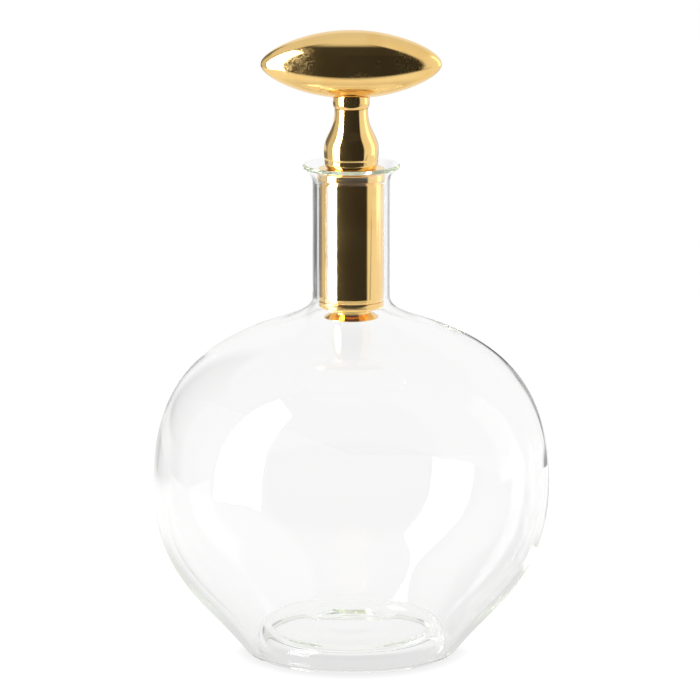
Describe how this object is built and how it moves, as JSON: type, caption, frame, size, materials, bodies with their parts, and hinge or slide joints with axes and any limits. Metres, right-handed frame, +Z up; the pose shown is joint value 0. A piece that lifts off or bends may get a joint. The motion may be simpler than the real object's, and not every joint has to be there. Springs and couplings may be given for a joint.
{
  "type": "spherical decanter",
  "caption": "Round blown-glass decanter with a straight neck, flared lip and kicked-up base, closed by a lift-out polished brass stopper with a spindle-shaped bar knob.",
  "frame": {"origin": "centre of the base, on the surface that the decanter stands on", "axes": "+Z up along the axis of the glass and the stopper; +X along the knob's bar, which lies across the view in the picture"},
  "size_m": [0.1532, 0.1532, 0.2428],
  "materials": {
    "clear_glass": "clear soda-lime glass, faint green where it is thick",
    "clear_silicone": "clear silicone",
    "polished_brass": "polished, uncoated",
    "plated_steel": "zinc plated"
  },
  "bodies": {
    "vessel": {"glass_vessel": "clear_glass"},
    "seat": {"seat_ring": "clear_silicone"},
    "stopper": {"plug_head": "polished_brass", "plug_sleeve": "polished_brass", "plug_end_cap": "polished_brass", "stem": "polished_brass", "collar": "polished_brass", "knob": "polished_brass", "tie_rod": "plated_steel", "clamp_washer": "plated_steel", "clamp_nut": "plated_steel"}
  },
  "joints": [
    {"name": "stopper_lift", "type": "slide", "parent": "vessel", "child": "seat", "axis": [0, 0, 1], "range_m": [0, 0.062]},
    {"name": "stopper_turn", "type": "hinge", "parent": "seat", "child": "stopper", "pos_m": [0, 0, 0.186], "axis": [0, 0, 1], "continuous": true}
  ]
}
